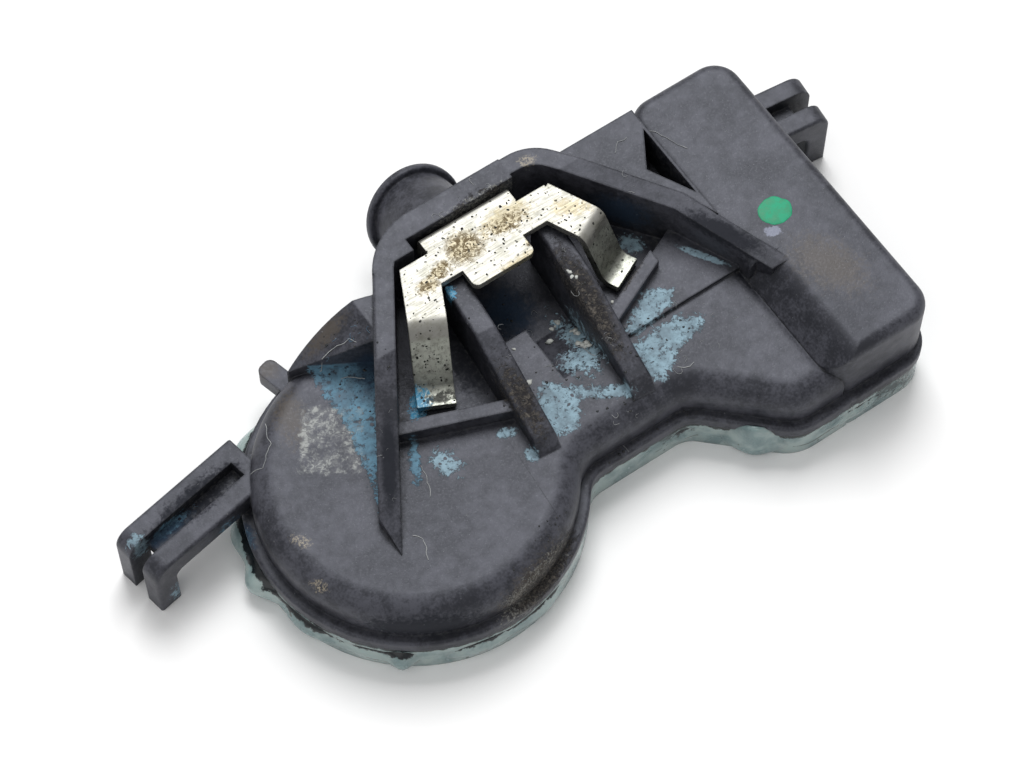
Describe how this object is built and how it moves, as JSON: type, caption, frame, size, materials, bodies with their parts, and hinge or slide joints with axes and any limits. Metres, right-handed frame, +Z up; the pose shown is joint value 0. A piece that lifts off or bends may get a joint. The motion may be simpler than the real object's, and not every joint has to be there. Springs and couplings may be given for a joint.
{
  "type": "tyre pressure sensor",
  "caption": "Wheel-mounted tyre pressure sensor: moulded housing with a battery bay, electronics block, forked arms, a valve collar and a sprung steel valve clip, potted underneath.",
  "frame": {"origin": "on the round battery bay's axis, on the flat underside of the potting", "axes": "+X along the body from the battery bay to the electronics block, +Y towards the valve collar, +Z up from the potted underside"},
  "size_m": [0.0653, 0.0345, 0.0119],
  "materials": {
    "housing_plastic": "satin charcoal glass-filled plastic with scuffs",
    "clip_steel": "bright spring steel with brown stains",
    "potting": "cloudy blue-green gel",
    "cell_steel": "plain can",
    "tab_nickel": "plain strip",
    "board_laminate": "green solder mask",
    "chip_plastic": "black moulding compound",
    "seal_rubber": "soft black rubber",
    "ferrite": "dull dark ferrite",
    "copper_wire": "enamelled copper",
    "antenna_wire": "tinned wire",
    "crystal_can": "plain can",
    "chip_ceramic": "tan ceramic"
  },
  "bodies": {
    "sensor_body": {"housing": "housing_plastic", "potting_gel": "potting", "coin_cell": "cell_steel", "cell_tab_positive": "tab_nickel", "cell_tab_negative": "tab_nickel", "circuit_board": "board_laminate", "sensor_chip": "chip_plastic", "port_seal": "seal_rubber", "lf_coil_core": "ferrite", "lf_coil_winding": "copper_wire", "rf_antenna": "antenna_wire", "crystal": "crystal_can", "capacitors": "chip_ceramic", "resistors": "chip_plastic", "inductors": "ferrite"},
    "clip_body": {"retaining_clip": "clip_steel"}
  },
  "joints": [
    {"name": "clip_lift", "type": "slide", "parent": "sensor_body", "child": "clip_body", "axis": [0, 0, 1], "range_m": [0, 0.0015], "stiffness_N_per_m": 2000}
  ]
}
